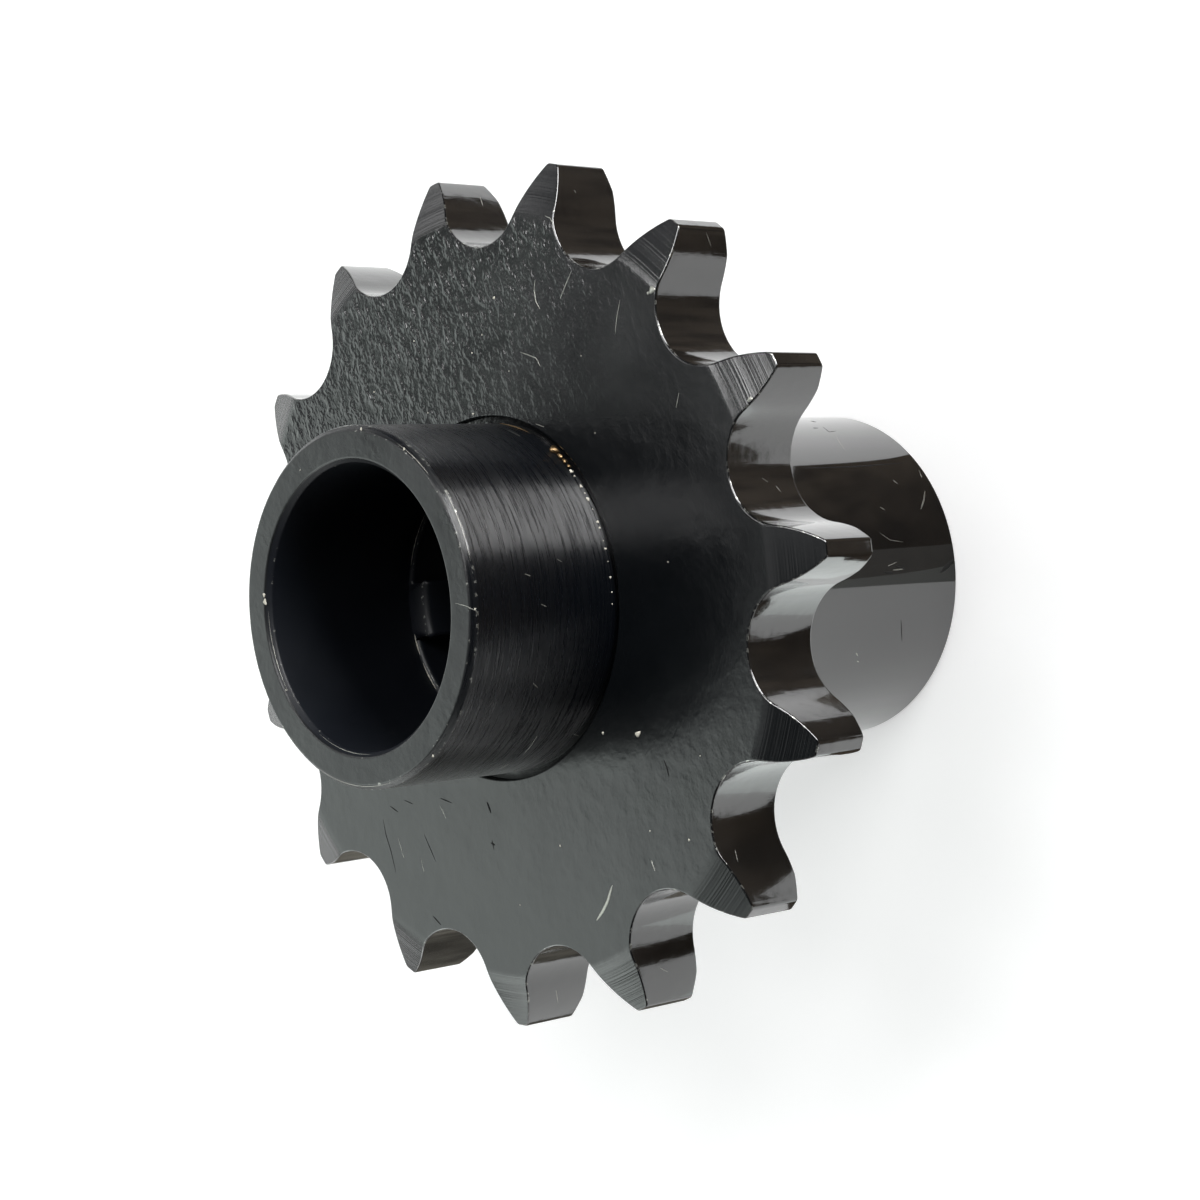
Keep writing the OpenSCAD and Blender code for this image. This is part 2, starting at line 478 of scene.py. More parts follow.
def product(tree, one, other):
    """One value times another."""
    return add(tree, "Math", {0: one, 1: other}, operation="MULTIPLY"), "Value"


def bumped(tree, normal, level, height):
    """A bump of so many mm, laid over the bumps of the normal that it is given."""
    links = {"Height": level}
    if normal:
        links["Normal"] = normal
    return add(tree, "Bump", links, {"Distance": height * MM, "Strength": 1.0}), "Normal"


def relief(size, height, turn=0.0, detail=3.0, sharp=None, fade=None):
    """One layer of bumps: its cells' sizes in mm along x, y and z, its height in mm, its turn about
    the axis, how fine it goes, the two levels that it is cut to, and how it fades. A fade is the
    turn of a straight ramp over the part, the places in mm where the ramp is 0 and 1, and the
    least share of the height that stays."""
    return {"size": size, "height": height, "turn": turn, "detail": detail, "sharp": sharp, "fade": fade}


def fade_over(tree, place, turn, nothing, full, least):
    """A straight ramp over the part, as relief() describes it."""
    along = add(tree, "Mapping", {"Vector": (place, "Object")}, {"Rotation": (0, 0, turn)},
                vector_type="TEXTURE")
    along = add(tree, "SeparateXYZ", {"Vector": (along, "Vector")})
    share = add(tree, "MapRange", {"Value": (along, "X")},
                {"From Min": nothing * MM, "From Max": full * MM, "To Min": least},
                interpolation_type="SMOOTHSTEP")
    return share, "Result"


def turned_rings(tree):
    """How far a place of the plate's face is turned, how far it is still rolled, and the height of
    the fine rings that the lathe left there, one every 0.16 mm or so of radius."""
    ring_spacing = 0.16
    turned = (add(tree, "Attribute", attribute_name="turned"), "Fac")
    rolled = (add(tree, "Math", {1: turned}, {0: 1.0}, operation="SUBTRACT"), "Value")
    radius = add(tree, "Attribute", attribute_name="radius")
    rings = add(tree, "TexNoise", {"W": (radius, "Fac")}, {"Scale": 1 / ring_spacing, "Detail": 3.0},
                noise_dimensions="1D")
    return rolled, product(tree, (rings, "Fac"), turned)


def lacquer(name, dark, light, roughness, ior, reliefs, worn_from=0.62, cloud=9.0, brushed=0.0,
            coat=0.0, face=False):
    """Black lacquer on steel. Its colour drifts between two near-blacks in soft clouds, its gloss
    drifts with them, and on the marked edges it is rubbed through to grey steel in short
    stretches. On a face, the reliefs end at the turned bevel, whose own marks are fine rings."""
    # sizes in mm of the rubbed stretches and of the brushed grooves, and the rings' height
    rubbed_size, groove_size, ring_height = (0.5, 0.5, 0.5), (4.0, 4.0, 0.16), 0.03
    # how far under worn_from the coat is still whole, and how far over it the steel is bare
    whole_under, bare_over = 0.06, 0.04
    coat_ior = 1.6
    material, tree = new_material(name)
    place = add(tree, "TexCoord")
    clouds = noise_at(tree, place, (cloud,) * 3)
    colour = add(tree, "Mix", {0: clouds}, {6: linear(dark), 7: linear(light)}, data_type="RGBA")
    # on brushed work each groove has its own gloss, so that a highlight breaks up into fine lines
    drift = noise_at(tree, place, groove_size, detail=4.0) if brushed else clouds
    gloss = add(tree, "MapRange", {"Value": drift},
                {"From Min": noise_low, "From Max": noise_high,
                 "To Min": roughness[0], "To Max": roughness[1]})
    normal = None
    if face:
        rolled, rings = turned_rings(tree)
        normal = bumped(tree, normal, rings, ring_height)
    for layer in reliefs:
        level = noise_at(tree, place, layer["size"], layer["turn"], layer["detail"], layer["sharp"])
        if face:
            level = product(tree, level, rolled)
        if layer["fade"]:
            level = product(tree, level, fade_over(tree, place, *layer["fade"]))
        normal = bumped(tree, normal, level, layer["height"])
    edge = add(tree, "Attribute", attribute_name="edge")
    rubbed = product(tree, (edge, "Fac"), noise_at(tree, place, rubbed_size, detail=4.0))
    bare = add(tree, "MapRange", {"Value": rubbed},
               {"From Min": worn_from - whole_under, "From Max": worn_from + bare_over})
    shown = add(tree, "Mix", {0: (bare, "Result"), 6: (colour, "Result")}, {7: linear("#a3a49e")},
                data_type="RGBA")
    links = {"Base Color": (shown, "Result"), "Roughness": (gloss, "Result"),
             "Metallic": (bare, "Result")}
    if normal:
        links["Normal"] = normal
    values = {"IOR": ior, "Coat Weight": coat, "Coat IOR": coat_ior,
              "Coat Roughness": roughness[0] / 2}
    if brushed:
        # the grooves run round the axis, so the gloss spreads along it
        links["Tangent"] = (add(tree, "Tangent", direction_type="RADIAL", axis="Z"), "Tangent")
        values.update({"Anisotropic": brushed, "Anisotropic Rotation": 0.25})
    shader = add(tree, "BsdfPrincipled", links, values)
    add(tree, "OutputMaterial", {"Surface": (shader, "BSDF")})
    return material


def grainy(name, dark, light, roughness, metallic, grain):
    """A small mark's finish: its colour and gloss change over grains of a real size in mm."""
    gloss_drift, grain_height = 0.1, 0.03
    material, tree = new_material(name)
    place = add(tree, "TexCoord")
    grains = noise_at(tree, place, (grain,) * 3)
    colour = add(tree, "Mix", {0: grains}, {6: linear(dark), 7: linear(light)}, data_type="RGBA")
    gloss = add(tree, "MapRange", {"Value": grains},
                {"To Min": roughness - gloss_drift, "To Max": roughness + gloss_drift})
    links = {"Base Color": (colour, "Result"), "Roughness": (gloss, "Result"),
             "Normal": bumped(tree, None, grains, grain_height)}
    shader = add(tree, "BsdfPrincipled", links, {"Metallic": metallic})
    add(tree, "OutputMaterial", {"Surface": (shader, "BSDF")})
    return material


# hot-rolled, then dipped in black lacquer: the face keeps the scale's bumps, about 0.8 mm wide
# and 1.1 mm long, which break its satin gloss up most on the +X, -Y side; the ramp that fades them
# is turned towards that side by this much
rough_side = -0.64
face = lacquer("lacquer_over_rolled_face", "#07090b", "#0d1013", (0.17, 0.25), 1.7, [
    relief((0.8, 1.1, 1.1), 0.05, 0.5, 2.0, (0.35, 0.8), fade=(rough_side, -1.0, 20.0, 0.12)),
    relief((0.34, 0.5, 0.5), 0.016, 0.2, 2.0, fade=(rough_side, 0.0, 19.0, 0.3)),
    relief((0.16, 0.22, 0.22), 0.004),
    relief((3.5, 3.5, 3.5), 0.045, detail=2.0)], face=True)
# milled, then lacquered thickly: the flanks look wet and show the room in wavy bands
flank = lacquer("lacquer_over_milled_teeth", "#08090a", "#0d0e0f", (0.08, 0.16), 1.7, [
    relief((0.25, 0.25, 3.0), 0.007, detail=4.0),
    relief((0.5, 0.5, 0.9), 0.012),
    relief((2.0, 2.0, 2.6), 0.045, detail=2.0)], worn_from=0.6, coat=1.0)
# turned, then lacquered thinly: grooves about 0.2 mm apart spread each highlight along the axis
wall = lacquer("lacquer_over_turned_boss", "#05070a", "#090c11", (0.15, 0.48), 1.7, [
    relief((7.0, 7.0, 0.3), 0.05, detail=4.0),
    relief((1.6, 1.6, 0.2), 0.035)], brushed=1.0)
# faced on the lathe: the ring-shaped end is an even satin grey-black
end = lacquer("lacquer_over_faced_end", "#0a0c0e", "#15181b", (0.26, 0.4), 1.6, [
    relief((0.35, 0.35, 0.35), 0.018),
    relief((2.0, 2.0, 2.0), 0.05, detail=2.0)], worn_from=0.66, cloud=5.0)
# reamed and lacquered: the bore is a dull blue-black
reamed = lacquer("lacquer_in_reamed_bore", "#0a0d13", "#12161d", (0.4, 0.5), 1.45, [
    relief((5.0, 5.0, 0.3), 0.004)], worn_from=0.55)
# ground, then lacquered thickly: the rear hub is the glossiest part
ground = lacquer("lacquer_over_ground_hub", "#08090a", "#0c0d0e", (0.05, 0.09), 1.7, [
    relief((4.0, 4.0, 0.25), 0.002),
    relief((2.5, 2.5, 2.5), 0.008, detail=2.0)], worn_from=0.66, coat=1.0)
# steel that a scratch has laid bare, dulled by handling
steel = grainy("scratched_steel", "#8f908b", "#d9d8cf", 0.45, 1.0, 0.1)
# brass from the seam's brazing, gold-brown and slightly dull
brass = grainy("brazing_brass", "#6a5238", "#bfa47c", 0.4, 1.0, 0.15)
# workshop dust and dried flux, pale and matt
dust = grainy("dried_flux_dust", "#a8a498", "#ece8da", 0.8, 0.0, 0.1)
# nicks that have filled with black oxide
oxide = grainy("black_oxide_in_nicks", "#020202", "#070605", 0.8, 0.0, 0.1)

toothed_plate(face, flank)
front_boss(wall, end, reamed)
rear_hub(ground, reamed)


def sight(pixels):
    """The directions in which the camera sees these pixels of the photograph."""
    x, y = pixels[..., :1] - picture_px / 2, picture_px / 2 - pixels[..., 1:2]
    return ahead + (x * camera_right + y * camera_up) / lens_px


def on_plane(pixels, height):
    """Where the sight lines meet a level plane."""
    line = sight(pixels)
    return camera_place + line * ((height - camera_place[2]) / line[..., 2])[..., None]


def on_plate(pixels):
    """Points and normals on the plate's front, found by four steps of height and radius."""
    points = on_plane(pixels, plate_top)
    for _ in range(4):
        points = on_plane(pixels, front_height(np.linalg.norm(points[..., :2], axis=-1)))
    r = np.linalg.norm(points[..., :2], axis=-1, keepdims=True)
    slope = bevel_slope * np.clip((r - crease_r + crease_half) / (2 * crease_half), 0, 1)
    return points, unit(np.concatenate([points[..., :2] / r * slope, np.ones_like(r)], -1))


def on_end(pixels):
    """Points and normals on the boss's ring-shaped end."""
    points = on_plane(pixels, total_len)
    return points, np.broadcast_to([0.0, 0.0, 1.0], points.shape)


def on_round(radius):
    """Returns a function for points and normals on a cylinder round the axis."""
    def cast(pixels):
        """The nearer root of |place + line * t| = radius, seen along the axis."""
        line = sight(pixels)
        a = (line[..., :2] ** 2).sum(-1)
        b = (line[..., :2] * camera_place[:2]).sum(-1)
        c = (camera_place[:2] ** 2).sum() - radius ** 2
        t = (-b - np.sqrt(np.maximum(b * b - a * c, 0))) / a
        points = camera_place + line * t[..., None]
        return points, unit(points * [1, 1, 0])
    return cast


def on_flank(pixels):
    """Points and normals on the tooth flanks: the nearest crossing of each sight line with the
    upright wall over the teeth's outline, between the plate's faces."""
    outline = gap_outline()
    along = np.roll(outline, -1, axis=0) - outline
    line = sight(pixels)[..., None, :]
    gap = outline - camera_place[:2]
    cross = line[..., 0] * along[:, 1] - line[..., 1] * along[:, 0]
    t = (gap[:, 0] * along[:, 1] - gap[:, 1] * along[:, 0]) / cross
    share = (gap[:, 0] * line[..., 1] - gap[:, 1] * line[..., 0]) / cross
    z = camera_place[2] + t * line[..., 2]
    good = (share >= 0) & (share < 1) & (z > hub_len) & (z < plate_top)
    best = np.where(good, t, np.inf).argmin(-1)
    t = np.take_along_axis(t, best[..., None], -1)
    out = unit(np.stack([along[:, 1], -along[:, 0], np.zeros(len(along))], -1))
    return camera_place + sight(pixels) * t, out[best]


def narrowing(s, blunt):
    """The width of a long mark at share s of its length, as the root of half a sine wave whose ends
    are cut off by the share blunt."""
    return np.sqrt(np.sin(np.pi * (blunt + (1 - 2 * blunt) * s)))


def strokes(name, material, cast, lines, height=0.012, rows=12, columns=6):
    """Long thin marks: each is (half of its width in mm, pixels that it runs through). Its section
    is a flat ellipse that narrows towards both ends, carried along the path on the surface."""
    # how far a mark's end point lies past its last row, as a share of half of its width
    past_end = 0.6
    s = np.linspace(0, 1, rows)
    paths = []
    for _, pixels in lines:
        pixels = np.asarray(pixels, float)
        at = np.concatenate([[0], np.cumsum(np.linalg.norm(np.diff(pixels, axis=0), axis=1))])
        paths.append(np.stack([np.interp(s, at / at[-1], pixels[:, k]) for k in (0, 1)], -1))
    points, normals = cast(np.array(paths))
    tangent = unit(np.gradient(points, axis=1))
    aside = unit(np.cross(tangent, normals))
    half_width = np.array([line[0] for line in lines])[:, None, None, None]
    narrow = narrowing(s, 0.03)[None, :, None, None]
    q = np.linspace(0, 2 * np.pi, columns, endpoint=False)[:, None]
    grid = points[:, :, None] + narrow * (half_width * np.cos(q) * aside[:, :, None]
                                          + height * np.sin(q) * normals[:, :, None])
    overrun = tangent * half_width[:, :, 0] * past_end
    return capped_grids(name, grid, points[:, 0] - overrun[:, 0], points[:, -1] + overrun[:, -1], material)


def beads(name, material, cast, spots, seed, height=0.5, push=0.0, rows=5, columns=10):
    """Small lumps: each is (half of its size in mm, x, y). A lump is an ellipsoid whose outline is
    waved three times round, with its height a share of its size, pushed along the normal. Two
    seeded draws between 0 and 1 give each lump the place of its waves and its stretch."""
    full_turn, wave_height = 6.28, 0.25
    least_stretch, more_stretch = 0.7, 0.6
    # a direction that is crossed with each normal, to find two directions across it
    slanting = [0.3, 0.2, 0.9]
    spots = np.asarray(spots, float)
    points, normals = cast(spots[:, 1:])
    size = spots[:, 0, None, None, None]
    first = unit(np.cross(normals, slanting))[:, None, None]
    second = unit(np.cross(normals, first[:, 0, 0]))[:, None, None]
    chance = np.random.default_rng(seed).uniform(0, 1, (2, len(spots)))[..., None, None, None]
    q = np.linspace(0, 2 * np.pi, columns, endpoint=False)[None, None, :, None]
    up = np.linspace(-np.pi / 2, np.pi / 2, rows + 2)[1:-1][None, :, None, None]
    wave = 1 + wave_height * np.sin(3 * q + full_turn * chance[0])
    stretch = least_stretch + more_stretch * chance[1]
    centre = (points + normals * push)[:, None, None]
    lift = normals[:, None, None] * size * height
    across = stretch * np.cos(q) * first + np.sin(q) * second
    grid = centre + size * wave * np.cos(up) * across + lift * np.sin(up)
    return capped_grids(name, grid, (centre - lift)[:, 0, 0], (centre + lift)[:, 0, 0], material)


def arcs(name, material, lines, height=0.02, rows=24, columns=6):
    """Thin marks that run round the axis: each is (half width, radius, height on the axis, first
    and last pixel); the pixels, seen on the plane at that height, give only the two angles. Two
    sine waves in one another make the width ragged."""
    ends = np.array([[line[3], line[4]] for line in lines], float)
    z = np.array([line[2] for line in lines])[:, None]
    seen = on_plane(ends, np.broadcast_to(z, ends.shape[:2]))
    angle = np.unwrap(np.arctan2(seen[..., 1], seen[..., 0]), axis=1)
    s = np.linspace(0, 1, rows)
    angle = angle[:, :1] * (1 - s) + angle[:, 1:] * s
    out = np.stack([np.cos(angle), np.sin(angle), np.zeros_like(angle)], -1)
    radius = np.array([line[1] for line in lines])[:, None, None]
    points = out * radius + z[..., None] * np.array([0, 0, 1.0])
    tangent = unit(np.gradient(points, axis=1))
    half_width = np.array([line[0] for line in lines])[:, None, None, None]
    ragged = 0.75 + 0.25 * np.sin(37 * s + 11 * np.sin(9 * s))
    narrow = (ragged * narrowing(s, 0.02))[None, :, None, None]
    q = np.linspace(0, 2 * np.pi, columns, endpoint=False)[:, None]
    grid = points[:, :, None] + narrow * (half_width * np.cos(q) * out[:, :, None]
                                          + height * np.sin(q) * np.array([0, 0, 1.0]))
    overrun = tangent * half_width[:, :, 0]
    return capped_grids(name, grid, points[:, 0] - overrun[:, 0], points[:, -1] + overrun[:, -1], material)


# where the photograph shows each mark, in its own pixels: a stroke is half of its width in mm and the
# pixels that it runs through, a bead half of its size and its pixel, and an arc half of its width,
# its radius and height in mm, and its first and last pixel
plate_scratches_seen = [
    (0.035, [(535, 280), (534, 290), (536, 302), (540, 309)]), (0.04, [(571, 272), (566, 284), (560, 299)]),
    (0.03, [(545, 216), (550, 218), (554, 225)]), (0.03, [(620, 300), (617, 316), (615, 334)]),
    (0.03, [(679, 393), (676, 408)]), (0.13, [(612, 886), (608, 901), (603, 911), (597, 920)]),
    (0.03, [(520, 352), (536, 358), (540, 366)]), (0.035, [(536, 424), (544, 427)]),
    (0.03, [(440, 806), (446, 818)]), (0.025, [(398, 838), (404, 858)]), (0.025, [(421, 858), (424, 872)]),
    (0.03, [(651, 860), (655, 871)])]
strokes("plate_scratches", steel, on_plate, plate_scratches_seen)
plate_specks_seen = [
    (0.055, 414, 341), (0.12, 494, 298), (0.07, 482, 335), (0.05, 472, 353), (0.06, 428, 413),
    (0.09, 473, 414), (0.05, 374, 392), (0.04, 509, 371), (0.05, 595, 433), (0.04, 581, 356),
    (0.27, 638, 734), (0.1, 603, 733), (0.05, 700, 756), (0.07, 650, 831), (0.08, 689, 840), (0.06, 560, 846),
    (0.05, 520, 905), (0.05, 668, 562)]
beads("plate_specks", dust, on_plate, plate_specks_seen, seed=3)
# steel beads where the rolled crease glints: painted highlights
painted_crease_glints_seen = [(0.3, 652, 290), (0.22, 750, 399), (0.12, 648, 293)]
beads("painted_crease_glints", steel, on_plate, painted_crease_glints_seen, seed=5, height=0.25)
plate_nicks_seen = [
    (0.11, [(487, 802), (491, 813)]), (0.05, [(492, 840), (494, 850)]), (0.05, [(440, 798), (452, 803)]),
    (0.05, [(390, 806), (398, 812)]), (0.06, [(372, 428), (378, 436)]),
    (0.04, [(383, 819), (386, 835), (391, 851), (396, 873)]), (0.035, [(424, 834), (430, 848), (436, 862)]),
    (0.08, [(664, 760), (667, 768), (669, 777)]), (0.07, [(433, 916), (441, 925)]),
    (0.09, [(491, 843), (495, 845)]), (0.04, [(404, 800), (413, 804)])]
strokes("plate_nicks", oxide, on_plate, plate_nicks_seen, height=0.025)
flank_scratches_seen = [
    (0.03, [(480, 197), (483, 206)]), (0.025, [(574, 190), (576, 193)]), (0.03, [(706, 232), (711, 246)]),
    (0.03, [(762, 478), (768, 482)]), (0.03, [(776, 486), (781, 492)]), (0.02, [(735, 850), (738, 862)]),
    (0.03, [(556, 990), (558, 1003)]), (0.02, [(660, 968), (668, 972)])]
strokes("flank_scratches", steel, on_flank, flank_scratches_seen)
hub_scratches_seen = [
    (0.025, [(836, 436), (840, 443), (845, 450)]), (0.07, [(925, 491), (924, 500), (921, 509)]),
    (0.04, [(880, 507), (885, 510)]), (0.04, [(893, 480), (898, 484)]), (0.03, [(888, 566), (897, 562)]),
    (0.05, [(893, 570), (903, 569)]), (0.02, [(880, 533), (890, 540), (903, 542)]),
    (0.03, [(919, 470), (922, 478)]), (0.05, [(856, 653), (858, 656)]), (0.04, [(857, 661), (859, 662)])]
strokes("hub_scratches", steel, on_round(hub_r), hub_scratches_seen)
# black strokes on the hub: nicks, and painted dark reflection lines along the top and bottom edges of its
# dark band
hub_nicks_and_painted_reflection_lines_seen = [
    (0.14, [(811, 421), (816, 422)]), (0.07, [(813, 428), (818, 428)]),
    (0.03, [(823, 427), (829, 432), (836, 431)]), (0.05, [(798, 468), (850, 467), (903, 463)]),
    (0.2, [(941, 572), (947, 566), (954, 560)]), (0.1, [(884, 572), (893, 573)]),
    (0.08, [(896, 566), (905, 569)]), (0.05, [(901, 620), (902, 641)])]
strokes("hub_nicks_and_painted_reflection_lines", oxide, on_round(hub_r), hub_nicks_and_painted_reflection_lines_seen, height=0.015)
# bare steel on the boss: scratches, and two strokes low on it that paint the highlight of a turned groove
boss_scratches_and_painted_groove_highlight_seen = [
    (0.045, [(525, 574), (531, 576)]), (0.03, [(541, 604), (547, 607)]), (0.03, [(557, 559), (562, 562)]),
    (0.03, [(533, 683), (538, 688)]), (0.04, [(537, 736), (531, 746), (523, 755)]),
    (0.04, [(573, 734), (579, 736)]), (0.05, [(499, 769), (509, 764)]), (0.025, [(508, 430), (520, 436)])]
strokes("boss_scratches_and_painted_groove_highlight", steel, on_round(boss_r), boss_scratches_and_painted_groove_highlight_seen)
boss_end_scratch_seen = [(0.022, [(455, 603), (466, 606), (476, 611)])]
strokes("boss_end_scratch", steel, on_end, boss_end_scratch_seen, height=0.006)


def on_seam(pixels):
    """Points and normals in the corner where the boss meets the plate, at the pixels' angles."""
    over_plate = 0.12
    outward = unit(on_plane(pixels, plate_top) * [1, 1, 0])
    return outward * boss_r + [0, 0, plate_top + over_plate], outward


seam_beads_seen = [
    (0.17, 574, 469), (0.07, 577, 474), (0.12, 584, 484), (0.06, 588, 491), (0.15, 590, 498),
    (0.05, 595, 508), (0.13, 600, 521), (0.1, 602, 527), (0.05, 606, 540), (0.12, 608, 548),
    (0.06, 611, 561), (0.09, 614, 577), (0.07, 615, 592), (0.05, 616, 604)]
beads("seam_beads", dust, on_seam, seam_beads_seen, seed=7, height=0.5, push=0.03)
seam_brass_seen = [(0.38, 556, 448), (0.22, 562, 455), (0.2, 566, 461), (0.15, 570, 466)]
beads("seam_brass", brass, on_seam, seam_brass_seen, seed=9, height=0.6, push=0.15)
seam_brass_line_seen = [(0.05, boss_r + 0.04, plate_top + 0.02, (500, 424), (530, 431))]
arcs("seam_brass_line", brass, seam_brass_line_seen, height=0.05)
turned_edge_burrs_seen = [
    (0.04, boss_r - 0.3, total_len - 0.1, (398, 441), (432, 470)),
    (0.03, boss_r - 0.3, total_len - 0.1, (318, 770), (392, 784)),
    (0.05, boss_r - 0.06, total_len - 0.35, (446, 488), (474, 560)),
    (0.04, bore_r + 0.17, total_len - 0.2, (265, 612), (284, 694)),
    (0.035, bore_r + 0.12, total_len - 0.28, (322, 727), (369, 749))]
arcs("turned_edge_burrs", steel, turned_edge_burrs_seen)
# pale arcs on the step at the bottom of the smooth bore: a painted highlight on its bevelled edge
painted_step_highlight_seen = [
    (0.05, bore_r - 0.1, bore_floor + 0.01, (427, 518), (413, 566)),
    (0.09, bore_r - 0.12, bore_floor + 0.01, (418, 634), (424, 652)),
    (0.08, bore_r - 0.12, bore_floor + 0.01, (427, 660), (439, 684))]
arcs("painted_step_highlight", dust, painted_step_highlight_seen)
# pale beads on the boss end: burrs, and at its left rim painted highlights
boss_end_burrs_and_painted_glints_seen = [
    (0.2, 265, 602), (0.15, 264, 595), (0.1, 475, 609), (0.1, 433, 756), (0.11, 361, 429), (0.12, 404, 449),
    (0.06, 300, 470), (0.06, 286, 690)]
beads("boss_end_burrs_and_painted_glints", dust, on_end, boss_end_burrs_and_painted_glints_seen, seed=11, height=0.1)


def rectangle(x0, y0, x1, y1):
    """The four corners of a rectangle."""
    return [(x0, y0), (x1, y0), (x1, y1), (x0, y1)]


def flat_sheet(name, parts, height, material):
    """Level sheets of the stage, each through four corners (x, y)."""
    corners = np.array(parts, float).reshape(-1, 2)
    corners = np.column_stack([corners, np.full(len(corners), height)]) * MM
    mesh = bpy.data.meshes.new(name)
    mesh.from_pydata(corners.tolist(), [], np.arange(len(corners)).reshape(-1, 4).tolist())
    mesh.materials.append(material)
    sheet = bpy.data.objects.new(name, mesh)
    bpy.context.scene.collection.objects.link(sheet)
    return sheet


def paper(name, dark, light, lit=0.0, mirrored=0.0):
    """Matt paper whose tone drifts over patches of 14 mm. It also gives a share of white, lit to the
    camera and mirrored to gloss, so that it reads as pale without more light on the object; the
    rest of it takes the object's shadow."""
    patch_size = 14.0
    material, tree = new_material(name)
    seen = add(tree, "LightPath")
    either = add(tree, "Math", {0: (seen, "Is Glossy Ray"), 1: (seen, "Is Transmission Ray")},
                 operation="MAXIMUM")
    either = add(tree, "Math", {0: (either, "Value")}, {1: mirrored}, operation="MULTIPLY")
    share = add(tree, "Math", {0: (seen, "Is Camera Ray"), 2: (either, "Value")}, {1: lit},
                operation="MULTIPLY_ADD")
    patches = noise_at(tree, add(tree, "TexCoord"), (patch_size,) * 3, sharp=(0.35, 0.65))
    colour = add(tree, "Mix", {0: patches}, {6: linear(dark), 7: linear(light)}, data_type="RGBA")
    matt = add(tree, "BsdfPrincipled", {"Base Color": (colour, "Result")}, {"Roughness": 0.9, "IOR": 1.3})
    glow = add(tree, "Emission", {"Strength": (share, "Value")}, {"Color": (1, 1, 1, 1)})
    sheet = add(tree, "AddShader", {0: (matt, "BSDF"), 1: (glow, "Emission")})
    add(tree, "OutputMaterial", {"Surface": (sheet, "Shader")})
    return material


# where the stage ends, in mm; the floor lies a hair under the hub's end, so that the two never
# share a plane
far = 3000
floor_height = -0.02
flat_sheet("floor", [rectangle(-far, -far, far, far)], floor_height,
           paper("matt_white_paper", "#dfdfdf", "#e1e1e1", 0.46, 0.35))


def card(name, parts, height, paper_kind):
    """Sheets over the floor, beside and under the sprocket. Only mirror rays meet them: they paint
    dark or bright reflections into the gloss there, and the floor stays white."""
    sheet = flat_sheet(name, parts, height, paper_kind)
    for kind in ("camera", "diffuse", "transmission", "volume_scatter", "shadow"):
        setattr(sheet, "visible_" + kind, False)


# the heights of the cards: two just over the floor, and two close under the teeth
low = 0.3
over_low = 0.4
under_teeth = 28
lower_under_teeth = 26
# painted dark reflections, which the hub (near) and the tooth flanks (further out) show
dark = paper("painted_dark_reflection_paper", "#433a31", "#6f6356")
card("painted_dark_reflection_card", [
    rectangle(-26, -24, -7.9, -1.0), rectangle(-far, -far, 8, -69),
    [(-far, -69), (8, -69), (-26, -30), (-far, -30)], rectangle(-far, -30, -28.5, -19.5),
    rectangle(-far, -19.5, -56.5, 5), rectangle(-far, 5, -60, 31)], low, dark)
# small flags close under the teeth on the -X side, each painting a dark reflection on the flank of one tooth
card("painted_reflection_flag", [rectangle(-34, 6, -26, 14), rectangle(-28, 20, -18, 24)], under_teeth, dark)
card("lower_painted_reflection_flag", [rectangle(-52, -6, -30, 2)], lower_under_teeth, dark)
# painted reflections on the hub: the soft edge between dark and light, in two steps, and a painted
# # dim reflection that the lower teeth show
card("painted_grey_reflection_card", [[(-12.4, -3.7), (-12.4, -2.3), (-31, -2.9), (-31, -12)]],
     over_low, paper("grey_painted_reflection_paper", "#7d7974", "#8b8781"))
card("painted_pale_reflection_card", [[(-12.4, -2.3), (-12.4, -0.9), (-31, -0.9), (-31, -2.9)]],
     over_low, paper("pale_grey_painted_reflection_paper", "#a9aaa6", "#b5b6b2"))
card("painted_dim_reflection_card", [rectangle(-12, 45, 90, far)], over_low, paper("painted_dim_reflection_paper", "#5f5b55", "#8b867d"))
# a painted bright reflection: this paper glows for mirror rays only
card("painted_bright_reflection_card", [rectangle(-46, 19, -10, 48)], low,
     paper("painted_bright_reflection_paper", "#e9f2ef", "#f4fdfa", mirrored=0.66))


lamps_look_at = Vector((0, 0, 25))


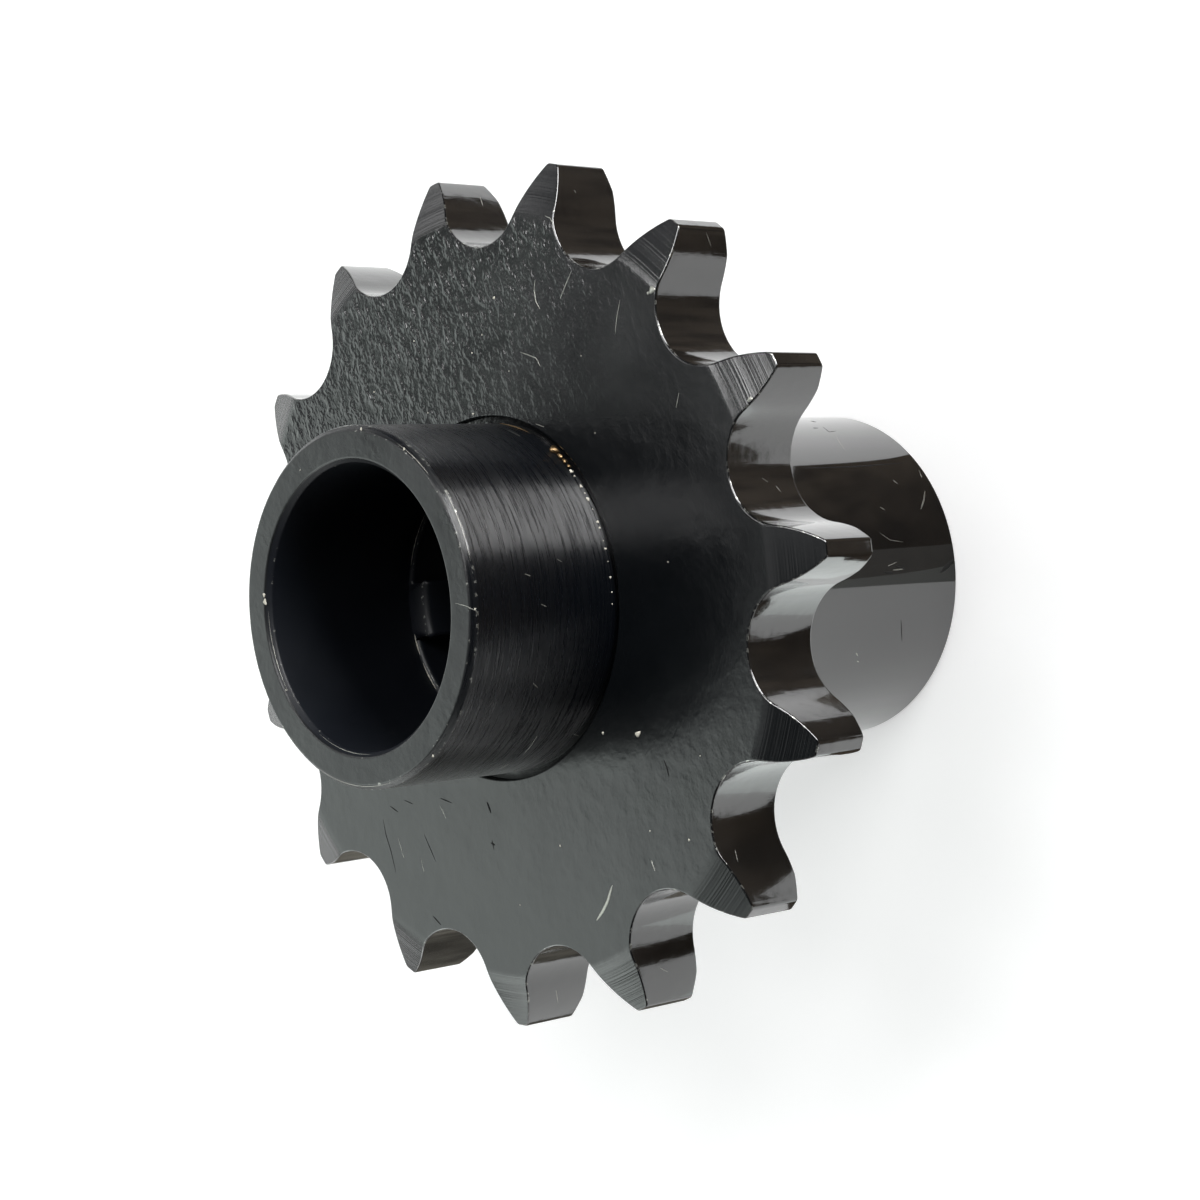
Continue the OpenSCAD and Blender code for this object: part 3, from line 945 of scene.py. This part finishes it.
def softbox(name, azimuth, elevation, distance, size, radiance, tilt=0.0, colour=(1.0, 1.0, 1.0)):
    """A rectangular lamp that looks at the sprocket from a direction in degrees and a distance in
    mm, with its long side tilted by so many degrees; radiance 1 looks as bright as white paper."""
    lamp = bpy.data.lights.new(name, "AREA")
    lamp.shape = "RECTANGLE"
    lamp.color = colour
    lamp.size, lamp.size_y = size[0] * MM, size[1] * MM
    # a lamp of this power gives this radiance over its whole face
    lamp.energy = radiance * np.pi * lamp.size * lamp.size_y
    piece = bpy.data.objects.new(name, lamp)
    az, el = np.radians(azimuth), np.radians(elevation)
    to_lamp = Vector((np.cos(el) * np.cos(az), np.cos(el) * np.sin(az), np.sin(el)))
    piece.location = (lamps_look_at + to_lamp * distance) * MM
    aim = to_lamp.to_track_quat("Z", "Y").to_matrix() @ Matrix.Rotation(np.radians(tilt), 3, "Z")
    piece.rotation_euler = aim.to_euler()
    piece.visible_camera = False
    bpy.context.scene.collection.objects.link(piece)


# the greys of the plate lean a little to green
cool = (0.92, 1.0, 0.965)
# the flat front mirrors the first lamp, and the turned bevels the five after it
softbox("far_softbox", 22, 33.4, 500, (580, 270), 1.46, tilt=36, colour=cool)
softbox("side_softbox", 52, 30, 500, (230, 260), 1.6, colour=cool)
softbox("high_side_softbox", 71, 53, 500, (150, 150), 0.9, colour=cool)
softbox("left_softbox", -29, 24, 500, (190, 190), 1.3)
softbox("low_softbox", 8, 6, 500, (560, 110), 1.1)
softbox("ceiling_softbox", -40, 66, 560, (560, 560), 0.3)
# the floor's shadow, away from where the plate would mirror the lamp
softbox("shadow_softbox", -112, 56, 500, (190, 190), 9.0)
# glints on the rolled crease, the broken band on the boss, and the tooth flanks from below
softbox("crease_softbox", -22, 58, 500, (80, 80), 12.0)
softbox("boss_strip", -126, 12, 450, (290, 150), 17.0)
softbox("lower_softbox", 85, 13, 420, (560, 130), 1.5)

# the rest of the room, nearly dark
sky_strength = 0.04
world = bpy.data.worlds.new("studio")
bpy.context.scene.world = world
world.use_nodes = True
world.node_tree.nodes.clear()
white = {"Color": linear("#ffffff"), "Strength": sky_strength}
sky = add(world.node_tree, "Background", values=white)
add(world.node_tree, "OutputWorld", {"Surface": (sky, "Background")})

sensor_size = 36.0
lens = bpy.data.cameras.new("photo_camera")
lens.sensor_width = sensor_size
lens.sensor_height = sensor_size
lens.lens = sensor_size * lens_px / picture_px
lens.clip_start = 0.01
camera = bpy.data.objects.new("photo_camera", lens)
camera_turn = Matrix([camera_right.tolist(), camera_up.tolist(), (-ahead).tolist()]).transposed()
camera.matrix_world = Matrix.Translation(Vector(camera_place.tolist()) * MM) @ camera_turn.to_4x4()
bpy.context.scene.collection.objects.link(camera)
bpy.context.scene.camera = camera

bpy.context.scene.view_settings.view_transform = "Standard"
